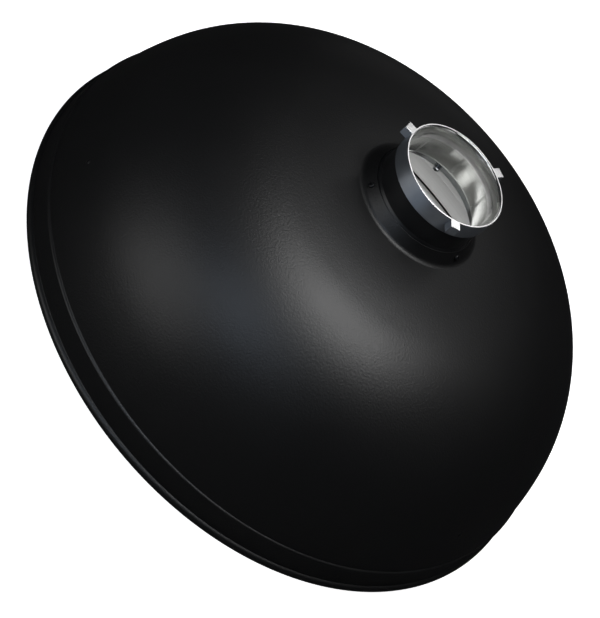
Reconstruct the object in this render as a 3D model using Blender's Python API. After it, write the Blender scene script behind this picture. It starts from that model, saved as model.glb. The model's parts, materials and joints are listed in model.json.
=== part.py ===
"""Studio beauty dish: a spun reflector on a three-lug bayonet mount.

The dish lies on its rim, mouth down, with the mount on top.  +Z is the dish's
axis, and the origin is the centre of the rim's flat land.  Sections are drawn
in radius and height, and bearings are counted from +X towards +Y.
"""

import math

import bmesh
import bpy
from mathutils import Matrix, Vector

MM = 0.001
GAP = 0.3 * MM                      # clearance between pieces that touch

# Driving dimensions
TOTAL_HEIGHT = 230.0 * MM           # rim land to the mount's end face
SHEET = 1.2 * MM                    # spun aluminium of the dish

# Seat: the cone around the dish's centre hole
SEAT_RADIUS = 50.4 * MM
SEAT_HEIGHT = TOTAL_HEIGHT - 37.7 * MM
SEAT_SLOPE = 56.0
SEAT_LENGTH = 9.8 * MM
SEAT_FILLET = 6.0 * MM

# Bowl: three tangent arcs, each with its radius and the slope where it ends
CROWN = (350.0 * MM, 11.0, 3)
SHOULDER = (159.0 * MM, 70.6, 9)
SKIRT = (266.0 * MM, 79.9, 2)

# Step, band and rolled rim; the band takes up the height that is left
STEP_INNER_BEND = 1.2 * MM
STEP_SLOPE = 20.0
STEP_OUTER_BEND = 2.2 * MM
BAND_SLOPE = 87.0
ROLL_FILLET = 0.8 * MM
ROLL_RADIUS = 3.9 * MM
ROLL_START_SLOPE = 14.0
LAND_START_SLOPE = 165.0            # the land is the chord from here to its mirror image

# Bayonet ring and its lugs
RING_RADIUS = 49.0 * MM
RING_LENGTH = 17.0 * MM
RING_BEVEL = 0.7 * MM
MOUTH_RADIUS = 47.6 * MM
MOUTH_STEP = 0.9 * MM
FUNNEL_RADIUS = 47.0 * MM
THROAT_RADIUS = 44.8 * MM
THROAT_DEPTH = 14.6 * MM
LUG_BEARINGS = (66.0, 186.0, 306.0)
LUG_WIDTH = 9.0 * MM
LUG_REACH = 56.3 * MM
LUG_DEPTH = 8.3 * MM
LUG_ROOT = 48.0 * MM
LUG_CHAMFER = 0.5 * MM

# Neck: a tube whose foot flares out under the seat
NECK_RADIUS = 47.6 * MM
NECK_WALL = 1.5 * MM
NECK_TOP = TOTAL_HEIGHT - 15.6 * MM
NECK_BEND = 2.0 * MM
NECK_FOOT_END = 9.3 * MM            # end of the foot, measured down the seat

# Screws through seat and foot, square to the seat
SCREW_BEARINGS = (106.5, 226.5, 346.5)
SCREW_DOWN_SEAT = 5.9 * MM
SCREW_SHANK = 1.4 * MM
SCREW_HOLE = 1.75 * MM
SCREW_HEAD_RADIUS = 2.8 * MM
SCREW_HEAD_HEIGHT = 1.5 * MM
SCREW_SOCKET_RADIUS = 1.15 * MM
SCREW_SOCKET_DEPTH = 0.9 * MM
WASHER_RADIUS = 3.1 * MM
WASHER_HEIGHT = 0.5 * MM
NUT_RADIUS = 3.0 * MM
NUT_HEIGHT = 2.0 * MM

# Deflector posts, midway between the screws
POST_BEARINGS = (46.5, 166.5, 286.5)
POST_CIRCLE = 64.0 * MM
STUD_TOP = TOTAL_HEIGHT - 50.2 * MM
STUD_FLANGE_RADIUS = 5.0 * MM
STUD_FLANGE_HEIGHT = 0.8 * MM
STUD_PIN_RADIUS = 1.7 * MM
STUD_PIN_LENGTH = 7.0 * MM
POST_BASE_RADIUS = 4.5 * MM
POST_BASE_LENGTH = 9.0 * MM
POST_RADIUS = 2.5 * MM
POST_LENGTH = 104.0 * MM
POST_THREAD_RADIUS = 2.0 * MM
POST_THREAD_LENGTH = 5.0 * MM
END_NUT_RADIUS = 4.5 * MM
END_NUT_LENGTH = 7.0 * MM

# Deflector plate and what slides with it
PLATE_HEIGHT = TOTAL_HEIGHT - 110.0 * MM    # upper face of the flat ring
PLATE_RADIUS = 85.0 * MM
PLATE_SHEET = 1.5 * MM
PLATE_DOME = (110.0 * MM, 24.0)
PLATE_DOME_FILLET = 15.0 * MM
PLATE_LIP_BEND = 4.0 * MM
PLATE_LIP_SLOPE = 85.0
PLATE_LIP_LENGTH = 2.0 * MM
COLLAR_RADIUS = 6.0 * MM
COLLAR_HEIGHT = 11.0 * MM
COLLAR_SPIGOT_RADIUS = 4.0 * MM
COLLAR_SPIGOT_LENGTH = 2.6 * MM
THUMB_HEIGHT = 5.5 * MM             # thumb screw above the plate
THUMB_SHANK = 1.2 * MM
THUMB_HEAD_RADIUS = 3.6 * MM
THUMB_HEAD_START = 7.5 * MM
THUMB_HEAD_LENGTH = 4.5 * MM

# Grid clips: leaf springs riveted inside the wall
CLIP_BEARINGS = (98.0, 218.0, 338.0)
RIVET_DEPTH = 160.6 * MM            # below the mount's end face
RIVET_SHANK = 1.4 * MM
RIVET_HOLE = 1.7 * MM
RIVET_HEAD_RADIUS = 2.3 * MM
RIVET_HEAD_HEIGHT = 0.7 * MM
RIVET_TAIL_RADIUS = 2.7 * MM
RIVET_TAIL_HEIGHT = 1.0 * MM
CLIP_GAP = 0.6 * MM                 # play that lets the leaf rock on its rivet
CLIP_SHEET = 0.8 * MM
CLIP_WIDTH = 12.0 * MM
CLIP_SIDE = ((-5.0, 0.0), (4.0, 0.0), (30.0, 7.0), (37.0, 5.4))

# Facets
BOWL_STEPS = 60
MOUNT_STEPS = 60
PLATE_STEPS = 36
SMALL_STEPS = 12

# Colours: linear red, green and blue, roughness, metallic
FINISHES = {
    "black_powder_coat": ((0.012, 0.012, 0.013), 0.45, 0.0),
    "black_anodised": ((0.010, 0.010, 0.011), 0.35, 0.3),
    "grey_anodised": ((0.16, 0.17, 0.18), 0.35, 0.9),
    "bright_aluminium": ((0.78, 0.78, 0.79), 0.25, 1.0),
    "white_enamel": ((0.80, 0.80, 0.79), 0.40, 0.0),
    "zinc_steel": ((0.55, 0.56, 0.58), 0.35, 1.0),
    "black_steel": ((0.02, 0.02, 0.02), 0.35, 0.8),
    "spring_steel": ((0.45, 0.45, 0.46), 0.30, 1.0),
}


class Section:
    """Outer line of a sheet's section, walked outwards and down from its start."""

    def __init__(self, radius, height, slope):
        self.points = [(radius, height, slope)]

    def line(self, length):
        """Run straight on at the present slope."""
        radius, height, slope = self.points[-1]
        angle = math.radians(slope)
        self.points.append((radius + length * math.cos(angle), height - length * math.sin(angle), slope))

    def bend(self, bend_radius, end_slope, steps):
        """Turn along a tangent arc until the slope is end_slope."""
        radius, height, slope = self.points[-1]
        side = 1.0 if end_slope > slope else -1.0
        start = math.radians(slope)
        for step in range(1, steps + 1):
            here = slope + (end_slope - slope) * step / steps
            angle = math.radians(here)
            out = side * bend_radius * (math.sin(angle) - math.sin(start))
            down = side * bend_radius * (math.cos(start) - math.cos(angle))
            self.points.append((radius + out, height - down, here))

    def outer(self):
        """The outer line's points as radius and height."""
        return [(radius, height) for radius, height, slope in self.points]

    def inner(self, thickness):
        """The inner line's points, one sheet thickness below the outer line."""
        line = []
        for radius, height, slope in self.points:
            angle = math.radians(slope)
            line.append((max(radius - thickness * math.sin(angle), 0.0), height - thickness * math.cos(angle)))
        return line


def bowl_section():
    """Seat, fillet, bowl, step and band of the dish."""
    section = Section(SEAT_RADIUS, SEAT_HEIGHT, SEAT_SLOPE)
    section.line(SEAT_LENGTH)
    section.bend(SEAT_FILLET, 0.0, 4)
    for arc_radius, end_slope, steps in (CROWN, SHOULDER, SKIRT):
        section.bend(arc_radius, end_slope, steps)
    section.bend(STEP_INNER_BEND, STEP_SLOPE, 2)
    section.bend(STEP_OUTER_BEND, BAND_SLOPE, 3)
    band, start, land = [math.radians(slope) for slope in (BAND_SLOPE, ROLL_START_SLOPE, LAND_START_SLOPE)]
    roll_drop = ROLL_FILLET * (math.cos(start) - math.cos(band)) + ROLL_RADIUS * (math.cos(start) - math.cos(land))
    section.line((section.points[-1][1] - roll_drop) / math.sin(band))
    return section


def rim_section(start):
    """Rolled rim, from the foot of the band round its land to the inside."""
    section = Section(*start)
    section.bend(ROLL_FILLET, ROLL_START_SLOPE, 3)
    section.bend(ROLL_RADIUS, 90.0, 3)
    section.bend(ROLL_RADIUS, LAND_START_SLOPE, 3)
    section.bend(ROLL_RADIUS, 360.0 - LAND_START_SLOPE, 1)
    section.bend(ROLL_RADIUS, 270.0, 2)
    section.bend(ROLL_RADIUS, 360.0 - ROLL_START_SLOPE, 3)
    return section


def clear_scene():
    """Remove every object, so that only the model is left."""
    for thing in list(bpy.data.objects):
        bpy.data.objects.remove(thing, do_unlink=True)


def finish(name):
    """Principled material of one of the named finishes."""
    material = bpy.data.materials.get(name)
    if material is None:
        colour, roughness, metallic = FINISHES[name]
        material = bpy.data.materials.new(name)
        material.use_nodes = True
        shader = material.node_tree.nodes["Principled BSDF"]
        shader.inputs["Base Color"].default_value = (*colour, 1.0)
        shader.inputs["Roughness"].default_value = roughness
        shader.inputs["Metallic"].default_value = metallic
    return material


def place(mesh, name, finish_name, matrix=None):
    """Link a mesh as a named object with its finish."""
    thing = bpy.data.objects.new(name, mesh)
    bpy.context.scene.collection.objects.link(thing)
    thing.matrix_world = matrix or Matrix.Identity(4)
    if not mesh.materials:
        mesh.materials.append(finish(finish_name))
    return thing


def turned_mesh(name, outline, steps, smooth_angle=30.0):
    """Spin a closed outline of radius and height about +Z; ends at radius 0 meet on the axis."""
    shape = bmesh.new()
    corners = [shape.verts.new((radius, 0.0, height)) for radius, height in outline]
    edges = []
    for start, end in zip(corners, corners[1:] + corners[:1]):
        if start.co.x > 0.0 or end.co.x > 0.0:
            edges.append(shape.edges.new((start, end)))
    bmesh.ops.spin(
        shape, geom=corners + edges, cent=(0.0, 0.0, 0.0), axis=(0.0, 0.0, 1.0),
        angle=2.0 * math.pi, steps=steps, use_merge=True,
    )
    bmesh.ops.remove_doubles(shape, verts=shape.verts, dist=1e-7)
    bmesh.ops.recalc_face_normals(shape, faces=shape.faces)
    mesh = bpy.data.meshes.new(name)
    shape.to_mesh(mesh)
    shape.free()
    mesh.shade_smooth()
    mesh.set_sharp_from_angle(angle=math.radians(smooth_angle))
    return mesh


def prism_mesh(name, radius, bottom, top, sides):
    """Upright prism or rod between two heights."""
    shape = bmesh.new()
    bmesh.ops.create_cone(
        shape, cap_ends=True, segments=sides, radius1=radius, radius2=radius, depth=top - bottom,
        matrix=Matrix.Translation((0.0, 0.0, (top + bottom) / 2.0)),
    )
    mesh = bpy.data.meshes.new(name)
    shape.to_mesh(mesh)
    shape.free()
    return mesh


def boolean(target, tool_mesh, operation, matrix=None):
    """Cut target with a hidden tool, or join the tool to it."""
    tool = bpy.data.objects.new(f"{target.name}_tool", tool_mesh)
    bpy.context.scene.collection.objects.link(tool)
    tool.matrix_world = matrix or Matrix.Identity(4)
    tool.hide_render = True
    tool.display_type = "WIRE"
    modifier = target.modifiers.new(operation.title(), "BOOLEAN")
    modifier.object = tool
    modifier.operation = operation
    modifier.solver = "EXACT"


def baked_mesh(thing):
    """Mesh of an object with its modifiers applied, for pieces that are repeated."""
    bpy.context.view_layer.update()
    evaluated = thing.evaluated_get(bpy.context.evaluated_depsgraph_get())
    mesh = bpy.data.meshes.new_from_object(evaluated)
    mesh.name = thing.name
    for modifier in thing.modifiers:
        bpy.data.objects.remove(modifier.object, do_unlink=True)
    bpy.data.objects.remove(thing, do_unlink=True)
    mesh.shade_smooth()
    mesh.set_sharp_from_angle(angle=math.radians(30.0))
    return mesh


def radial_frame(radius, height, bearing, tilt):
    """Frame at a point of the dish whose +Z leans outwards by tilt and whose +X points down the wall."""
    turn = Matrix.Rotation(math.radians(bearing), 4, "Z")
    lean = Matrix.Rotation(math.radians(tilt), 4, "Y")
    return turn @ Matrix.Translation((radius, 0.0, height)) @ lean


def seat_frame(bearing):
    """Frame of a seat screw: origin on the dish's outer face, +Z square to the seat."""
    slope = math.radians(SEAT_SLOPE)
    radius = SEAT_RADIUS + SCREW_DOWN_SEAT * math.cos(slope)
    height = SEAT_HEIGHT - SCREW_DOWN_SEAT * math.sin(slope)
    return radial_frame(radius, height, bearing, SEAT_SLOPE)


def wall_frame(bearing):
    """Frame of a clip rivet: origin on a facet of the dish's outer face, +Z square to the wall."""
    height = TOTAL_HEIGHT - RIVET_DEPTH
    points = bowl_section().points
    for upper, lower in zip(points, points[1:]):
        if upper[1] >= height > lower[1]:
            share = (upper[1] - height) / (upper[1] - lower[1])
            radius = upper[0] + share * (lower[0] - upper[0])
            chord = math.degrees(math.atan2(upper[1] - lower[1], lower[0] - upper[0]))
            return radial_frame(radius * math.cos(math.pi / BOWL_STEPS), height, bearing, chord)
    raise ValueError("the rivet lies off the wall")


def post_frame(bearing):
    """Frame of a deflector post at height zero: +X points away from the dish's axis."""
    return radial_frame(POST_CIRCLE, 0.0, bearing, 0.0)


def make_dish():
    """Spun bowl with its seat, step, band and rolled rim."""
    section = bowl_section()
    rim = rim_section(section.points[-1])
    outline = section.outer() + rim.outer()[1:] + section.inner(SHEET)[::-1]
    dish = place(turned_mesh("dish_shell", outline, BOWL_STEPS), "dish_shell", "black_powder_coat")
    for bearing in SCREW_BEARINGS:
        tool = prism_mesh("screw_hole", SCREW_HOLE, -4.0 * MM, 4.0 * MM, SMALL_STEPS)
        boolean(dish, tool, "DIFFERENCE", seat_frame(bearing))
    for bearing in CLIP_BEARINGS:
        tool = prism_mesh("rivet_hole", RIVET_HOLE, -4.0 * MM, 4.0 * MM, SMALL_STEPS)
        boolean(dish, tool, "DIFFERENCE", wall_frame(bearing))


def make_bayonet_ring():
    """Ring with a polished funnel mouth and three lugs that lock in the flash head."""
    face = TOTAL_HEIGHT
    rear = face - RING_LENGTH
    socket_radius = NECK_RADIUS + GAP
    socket_floor = NECK_TOP + GAP
    rise = THROAT_DEPTH - MOUTH_STEP
    flare = FUNNEL_RADIUS - THROAT_RADIUS
    funnel_bend = (rise * rise + flare * flare) / (2.0 * flare)
    outline = [
        (RING_RADIUS, face),
        (RING_RADIUS, rear + RING_BEVEL),
        (RING_RADIUS - RING_BEVEL, rear),
        (socket_radius, rear),
        (socket_radius, socket_floor),
        (THROAT_RADIUS + 0.4 * MM, socket_floor),
    ]
    funnel_steps = 6
    sweep = math.asin(rise / funnel_bend)
    for step in range(funnel_steps + 1):
        angle = sweep * step / funnel_steps
        radius = THROAT_RADIUS + funnel_bend * (1.0 - math.cos(angle))
        outline.append((radius, face - THROAT_DEPTH + funnel_bend * math.sin(angle)))
    outline.append((MOUTH_RADIUS, face - MOUTH_STEP))
    outline.append((MOUTH_RADIUS, face))
    ring = place(turned_mesh("bayonet_ring", outline, MOUNT_STEPS), "bayonet_ring", "grey_anodised")
    for bearing in LUG_BEARINGS:
        boolean(ring, lug_mesh(), "UNION", Matrix.Rotation(math.radians(bearing), 4, "Z"))


def lug_mesh():
    """One bayonet lug along +X, chamfered on its outer edges."""
    shape = bmesh.new()
    centre = Matrix.Translation(((LUG_ROOT + LUG_REACH) / 2.0, 0.0, TOTAL_HEIGHT - LUG_DEPTH / 2.0))
    size = Matrix.Diagonal((LUG_REACH - LUG_ROOT, LUG_WIDTH, LUG_DEPTH, 1.0))
    bmesh.ops.create_cube(shape, size=1.0, matrix=centre @ size)
    outer_edges = [edge for edge in shape.edges if all(v.co.x > LUG_REACH - MM for v in edge.verts)]
    upright = [edge for edge in outer_edges if abs(edge.verts[0].co.z - edge.verts[1].co.z) > MM]
    bmesh.ops.bevel(shape, geom=upright, offset=LUG_CHAMFER, segments=1, affect="EDGES")
    mesh = bpy.data.meshes.new("lug")
    shape.to_mesh(mesh)
    shape.free()
    return mesh


def make_neck():
    """Tube from the ring down through the dish, with its foot flared under the seat."""
    slope = math.radians(SEAT_SLOPE)
    offset = SHEET + GAP
    line_radius = SEAT_RADIUS - offset * math.sin(slope)
    line_height = SEAT_HEIGHT - offset * math.cos(slope)
    bend_out = NECK_BEND * (1.0 - math.sin(slope))
    bend_down = NECK_BEND * math.cos(slope)
    down_line = (NECK_RADIUS + bend_out - line_radius) / math.cos(slope)
    bend_start = line_height - down_line * math.sin(slope) + bend_down
    section = Section(NECK_RADIUS, NECK_TOP, 90.0)
    section.line(NECK_TOP - bend_start)
    section.bend(NECK_BEND, SEAT_SLOPE, 3)
    section.line(NECK_FOOT_END - down_line)
    outline = section.outer() + section.inner(NECK_WALL)[::-1]
    neck = place(turned_mesh("mount_neck", outline, MOUNT_STEPS), "mount_neck", "black_anodised")
    for bearing in SCREW_BEARINGS:
        tool = prism_mesh("foot_hole", SCREW_HOLE, -5.0 * MM, 5.0 * MM, SMALL_STEPS)
        boolean(neck, tool, "DIFFERENCE", seat_frame(bearing))


def make_seat_screws():
    """Socket screws with washers and nuts that clamp the neck's foot under the seat."""
    foot_face = -(SHEET + GAP + NECK_WALL)
    washer_top = foot_face - 1.5 * GAP
    nut_top = washer_top - WASHER_HEIGHT - GAP
    nut_bottom = nut_top - NUT_HEIGHT
    tip = nut_bottom - 0.8 * MM
    crown = GAP + SCREW_HEAD_HEIGHT
    outline = [
        (0.0, crown),
        (SCREW_HEAD_RADIUS * 0.62, crown),
        (SCREW_HEAD_RADIUS * 0.92, GAP + SCREW_HEAD_HEIGHT * 0.62),
        (SCREW_HEAD_RADIUS, GAP + SCREW_HEAD_HEIGHT * 0.2),
        (SCREW_HEAD_RADIUS, GAP),
        (SCREW_SHANK, GAP),
        (SCREW_SHANK, tip + 0.3 * MM),
        (SCREW_SHANK - 0.3 * MM, tip),
        (0.0, tip),
    ]
    blank = place(turned_mesh("seat_screw", outline, SMALL_STEPS), "seat_screw", "black_steel")
    socket = prism_mesh("socket", SCREW_SOCKET_RADIUS, crown - SCREW_SOCKET_DEPTH, crown + MM, 6)
    boolean(blank, socket, "DIFFERENCE")
    screw_mesh = baked_mesh(blank)
    ring = [
        (SCREW_HOLE, washer_top),
        (WASHER_RADIUS, washer_top),
        (WASHER_RADIUS, washer_top - WASHER_HEIGHT),
        (SCREW_HOLE, washer_top - WASHER_HEIGHT),
    ]
    washer_mesh = turned_mesh("seat_washer", ring, SMALL_STEPS)
    blank = place(prism_mesh("seat_nut", NUT_RADIUS, nut_bottom, nut_top, 6), "seat_nut", "zinc_steel")
    boolean(blank, prism_mesh("bore", SCREW_HOLE, nut_bottom - MM, nut_top + MM, SMALL_STEPS), "DIFFERENCE")
    nut_mesh = baked_mesh(blank)
    for number, bearing in enumerate(SCREW_BEARINGS, start=1):
        frame = seat_frame(bearing)
        place(screw_mesh, f"seat_screw_{number}", "black_steel", frame)
        place(washer_mesh, f"seat_washer_{number}", "zinc_steel", frame)
        place(nut_mesh, f"seat_nut_{number}", "zinc_steel", frame)


def make_posts():
    """Weld studs inside the dish, the deflector posts screwed onto them and their end nuts."""
    flange_bottom = STUD_TOP - STUD_FLANGE_HEIGHT
    stud = [
        (0.0, STUD_TOP),
        (STUD_FLANGE_RADIUS, STUD_TOP),
        (STUD_FLANGE_RADIUS, flange_bottom),
        (STUD_PIN_RADIUS, flange_bottom),
        (STUD_PIN_RADIUS, flange_bottom - STUD_PIN_LENGTH),
        (0.0, flange_bottom - STUD_PIN_LENGTH),
    ]
    stud_mesh = turned_mesh("weld_stud", stud, SMALL_STEPS)
    top = flange_bottom - GAP
    rod_end = top - POST_LENGTH
    thread_end = rod_end - POST_THREAD_LENGTH
    bore = STUD_PIN_RADIUS + GAP
    post = [
        (0.0, top - STUD_PIN_LENGTH - MM),
        (bore, top - STUD_PIN_LENGTH - MM),
        (bore, top),
        (POST_BASE_RADIUS, top),
        (POST_BASE_RADIUS, top - POST_BASE_LENGTH),
        (POST_RADIUS, top - POST_BASE_LENGTH - 1.5 * MM),
        (POST_RADIUS, rod_end),
        (POST_THREAD_RADIUS, rod_end),
        (POST_THREAD_RADIUS, thread_end),
        (0.0, thread_end),
    ]
    post_mesh = turned_mesh("deflector_post", post, SMALL_STEPS)
    nut_top = rod_end - GAP
    nut_bore = POST_THREAD_RADIUS + GAP
    nut_bottom = nut_top - END_NUT_LENGTH
    nut = [
        (0.0, thread_end - 0.5 * MM),
        (nut_bore, thread_end - 0.5 * MM),
        (nut_bore, nut_top),
        (END_NUT_RADIUS, nut_top),
        (END_NUT_RADIUS, nut_bottom + 2.0 * MM),
        (END_NUT_RADIUS * 0.75, nut_bottom + 0.5 * MM),
        (0.0, nut_bottom),
    ]
    nut_mesh = turned_mesh("post_end_nut", nut, SMALL_STEPS)
    for number, bearing in enumerate(POST_BEARINGS, start=1):
        frame = post_frame(bearing)
        place(stud_mesh, f"weld_stud_{number}", "zinc_steel", frame)
        place(post_mesh, f"deflector_post_{number}", "bright_aluminium", frame)
        place(nut_mesh, f"post_end_nut_{number}", "bright_aluminium", frame)


def make_deflector():
    """Domed plate that hides the flash tube, with a clamping collar on each post."""
    dome_radius, dome_slope = PLATE_DOME
    slope = math.radians(dome_slope)
    apex = PLATE_HEIGHT + (dome_radius + PLATE_DOME_FILLET) * (1.0 - math.cos(slope))
    flat_start = (dome_radius + PLATE_DOME_FILLET) * math.sin(slope)
    lip = PLATE_LIP_BEND * math.sin(math.radians(PLATE_LIP_SLOPE))
    lip += PLATE_LIP_LENGTH * math.cos(math.radians(PLATE_LIP_SLOPE))
    section = Section(0.0, apex, 0.0)
    section.bend(dome_radius, dome_slope, 4)
    section.bend(PLATE_DOME_FILLET, 0.0, 2)
    section.line(PLATE_RADIUS - lip - flat_start)
    section.bend(PLATE_LIP_BEND, PLATE_LIP_SLOPE, 3)
    section.line(PLATE_LIP_LENGTH)
    outline = section.outer() + section.inner(PLATE_SHEET)[::-1]
    plate = place(turned_mesh("deflector_plate", outline, PLATE_STEPS), "deflector_plate", "white_enamel")
    for bearing in POST_BEARINGS:
        hole = COLLAR_SPIGOT_RADIUS + GAP
        tool = prism_mesh("post_hole", hole, PLATE_HEIGHT - 5.0 * MM, PLATE_HEIGHT + 5.0 * MM, SMALL_STEPS)
        boolean(plate, tool, "DIFFERENCE", post_frame(bearing))
    bottom = PLATE_HEIGHT + GAP
    collar = [
        (POST_RADIUS + GAP, bottom + COLLAR_HEIGHT),
        (COLLAR_RADIUS, bottom + COLLAR_HEIGHT),
        (COLLAR_RADIUS, bottom),
        (COLLAR_SPIGOT_RADIUS, bottom),
        (COLLAR_SPIGOT_RADIUS, bottom - COLLAR_SPIGOT_LENGTH),
        (POST_RADIUS + GAP, bottom - COLLAR_SPIGOT_LENGTH),
    ]
    blank = place(turned_mesh("deflector_collar", collar, SMALL_STEPS), "deflector_collar", "bright_aluminium")
    across = Matrix.Translation((0.0, 0.0, bottom + THUMB_HEIGHT)) @ Matrix.Rotation(math.pi / 2.0, 4, "Y")
    boolean(blank, prism_mesh("thumb_hole", THUMB_SHANK + GAP, 0.0, 9.0 * MM, SMALL_STEPS), "DIFFERENCE", across)
    collar_mesh = baked_mesh(blank)
    head_end = THUMB_HEAD_START + THUMB_HEAD_LENGTH
    thumb = [
        (0.0, POST_RADIUS + 2.0 * GAP),
        (THUMB_SHANK, POST_RADIUS + 2.0 * GAP),
        (THUMB_SHANK, THUMB_HEAD_START),
        (THUMB_HEAD_RADIUS - 0.4 * MM, THUMB_HEAD_START),
        (THUMB_HEAD_RADIUS, THUMB_HEAD_START + 0.4 * MM),
        (THUMB_HEAD_RADIUS, head_end - 0.4 * MM),
        (THUMB_HEAD_RADIUS - 0.4 * MM, head_end),
        (0.0, head_end),
    ]
    thumb_mesh = turned_mesh("thumb_screw", thumb, SMALL_STEPS)
    for number, bearing in enumerate(POST_BEARINGS, start=1):
        frame = post_frame(bearing)
        place(collar_mesh, f"deflector_collar_{number}", "bright_aluminium", frame)
        place(thumb_mesh, f"thumb_screw_{number}", "black_steel", frame @ across)


def make_clips():
    """Leaf springs for a honeycomb grid, each rocking on the rivet that holds it."""
    half = CLIP_WIDTH / 2.0
    foot = -(SHEET + CLIP_GAP)
    shape = bmesh.new()
    wall_side = [shape.verts.new((down * MM, -half, foot - rise * MM)) for down, rise in CLIP_SIDE]
    room_side = [shape.verts.new((v.co.x, -half, v.co.z - CLIP_SHEET)) for v in reversed(wall_side)]
    side = shape.faces.new(wall_side + room_side)
    swept = bmesh.ops.extrude_face_region(shape, geom=[side])
    moved = [item for item in swept["geom"] if isinstance(item, bmesh.types.BMVert)]
    bmesh.ops.translate(shape, verts=moved, vec=Vector((0.0, CLIP_WIDTH, 0.0)))
    bmesh.ops.recalc_face_normals(shape, faces=shape.faces)
    mesh = bpy.data.meshes.new("grid_clip")
    shape.to_mesh(mesh)
    shape.free()
    blank = place(mesh, "grid_clip", "spring_steel")
    boolean(blank, prism_mesh("clip_hole", RIVET_HOLE, foot - 4.0 * MM, foot + 4.0 * MM, SMALL_STEPS), "DIFFERENCE")
    clip_mesh = baked_mesh(blank)
    tail_top = foot - CLIP_SHEET - CLIP_GAP
    rivet = [
        (0.0, GAP + RIVET_HEAD_HEIGHT),
        (RIVET_HEAD_RADIUS * 0.7, GAP + RIVET_HEAD_HEIGHT * 0.8),
        (RIVET_HEAD_RADIUS, GAP),
        (RIVET_SHANK, GAP),
        (RIVET_SHANK, tail_top),
        (RIVET_TAIL_RADIUS, tail_top),
        (RIVET_TAIL_RADIUS * 0.8, tail_top - RIVET_TAIL_HEIGHT),
        (0.0, tail_top - RIVET_TAIL_HEIGHT),
    ]
    rivet_mesh = turned_mesh("clip_rivet", rivet, SMALL_STEPS)
    for number, bearing in enumerate(CLIP_BEARINGS, start=1):
        frame = wall_frame(bearing)
        hinge = frame @ Matrix.Translation((0.0, 0.0, foot - CLIP_SHEET / 2.0))
        pivot = bpy.data.objects.new(f"grid_clip_{number}_pivot", None)
        bpy.context.scene.collection.objects.link(pivot)
        pivot.matrix_world = hinge
        clip = place(clip_mesh, f"grid_clip_{number}", "spring_steel")
        clip.parent = pivot
        clip.matrix_parent_inverse = hinge.inverted()
        clip.matrix_basis = frame
        place(rivet_mesh, f"clip_rivet_{number}", "black_steel", frame)


def main():
    """Build the whole dish."""
    clear_scene()
    make_dish()
    make_bayonet_ring()
    make_neck()
    make_seat_screws()
    make_posts()
    make_deflector()
    make_clips()


main()
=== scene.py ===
"""Looks of a studio beauty dish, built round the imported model.

The dish lies mouth down on a pale floor, its bayonet mount on top.  Sections
are drawn in radius and height, and a slope is the angle by which a line falls
on its way outwards.  Bearings are counted from +X towards +Y, in degrees.
"""

import json
import math

import bmesh
import bpy
from mathutils import Matrix, Vector


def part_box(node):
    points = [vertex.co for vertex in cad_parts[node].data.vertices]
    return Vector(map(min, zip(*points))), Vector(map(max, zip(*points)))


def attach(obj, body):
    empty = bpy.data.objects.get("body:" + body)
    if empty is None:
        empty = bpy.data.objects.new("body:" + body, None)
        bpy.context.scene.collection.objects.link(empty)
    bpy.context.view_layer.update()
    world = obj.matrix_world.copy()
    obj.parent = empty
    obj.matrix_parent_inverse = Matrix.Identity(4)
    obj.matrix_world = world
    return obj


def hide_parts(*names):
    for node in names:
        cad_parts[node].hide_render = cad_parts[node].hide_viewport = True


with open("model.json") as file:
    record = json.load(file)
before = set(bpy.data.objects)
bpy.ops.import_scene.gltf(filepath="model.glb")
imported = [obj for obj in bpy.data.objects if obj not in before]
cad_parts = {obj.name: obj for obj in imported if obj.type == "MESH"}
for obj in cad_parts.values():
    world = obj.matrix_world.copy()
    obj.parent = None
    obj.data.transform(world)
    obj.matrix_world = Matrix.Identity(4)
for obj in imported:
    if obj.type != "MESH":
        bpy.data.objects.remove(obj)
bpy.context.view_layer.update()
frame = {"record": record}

MM = 0.001
RECORD = frame["record"]
BODY_OF = {node: body for body, nodes in RECORD["behaviour"]["bodies"].items() for node in nodes}

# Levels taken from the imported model
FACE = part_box("bayonet_ring")[1].z    # end face of the mount
RING_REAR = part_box("bayonet_ring")[0].z
SEAT_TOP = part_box("dish_shell")[1].z  # edge of the dish's centre hole
NECK_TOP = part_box("mount_neck")[1].z
STUD_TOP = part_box("weld_stud_1")[1].z
PLATE_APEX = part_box("deflector_plate")[1].z
GAP = 0.3 * MM                        # clearance between pieces that touch

# Dish
SHEET = 1.2 * MM
SEAT_RADIUS = 50.4 * MM
SEAT_SLOPE = 56.0
SEAT_LENGTH = 9.8 * MM
SEAT_FILLET = 6.0 * MM
CROWN = (350.0 * MM, 11.0, 8)  # bend radius, end slope and facets of each arc
SHOULDER = (159.0 * MM, 70.6, 36)
SKIRT = (266.0 * MM, 79.9, 8)
STEP_INNER_BEND = 1.2 * MM
STEP_SLOPE = 20.0
STEP_OUTER_BEND = 2.2 * MM
BAND_SLOPE = 87.0
ROLL_FILLET = 0.8 * MM
ROLL_RADIUS = 3.9 * MM
ROLL_START_SLOPE = 14.0
LAND_START_SLOPE = 165.0
CURL_END_SLOPE = 328.0
SLIT_DEPTH = 1.4 * MM          # open slit between the curl's end and the band
SLIT_LEAN = 0.3 * MM           # how far the slit's wall leans outwards on its way down

# Bayonet ring
RING_RADIUS = 49.0 * MM
MOUTH_RADIUS = 47.6 * MM
MOUTH_STEP = 0.9 * MM
FUNNEL_RADIUS = 47.0 * MM
THROAT_RADIUS = 44.8 * MM
THROAT_DEPTH = 14.6 * MM
FUNNEL_STEPS = 24
SOCKET_LIP = 0.4 * MM  # shelf between the throat and the neck's socket
REAR_CHAMFER = 0.7 * MM
LUG_WIDTH = 9.0 * MM
LUG_REACH = 56.3 * MM
LUG_DEPTH = 8.3 * MM
LUG_ROOT = 48.0 * MM
LUG_ROUNDING = 0.25 * MM
LUG_OFFSET = -40.5     # from a seat screw's bearing to a lug's

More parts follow.
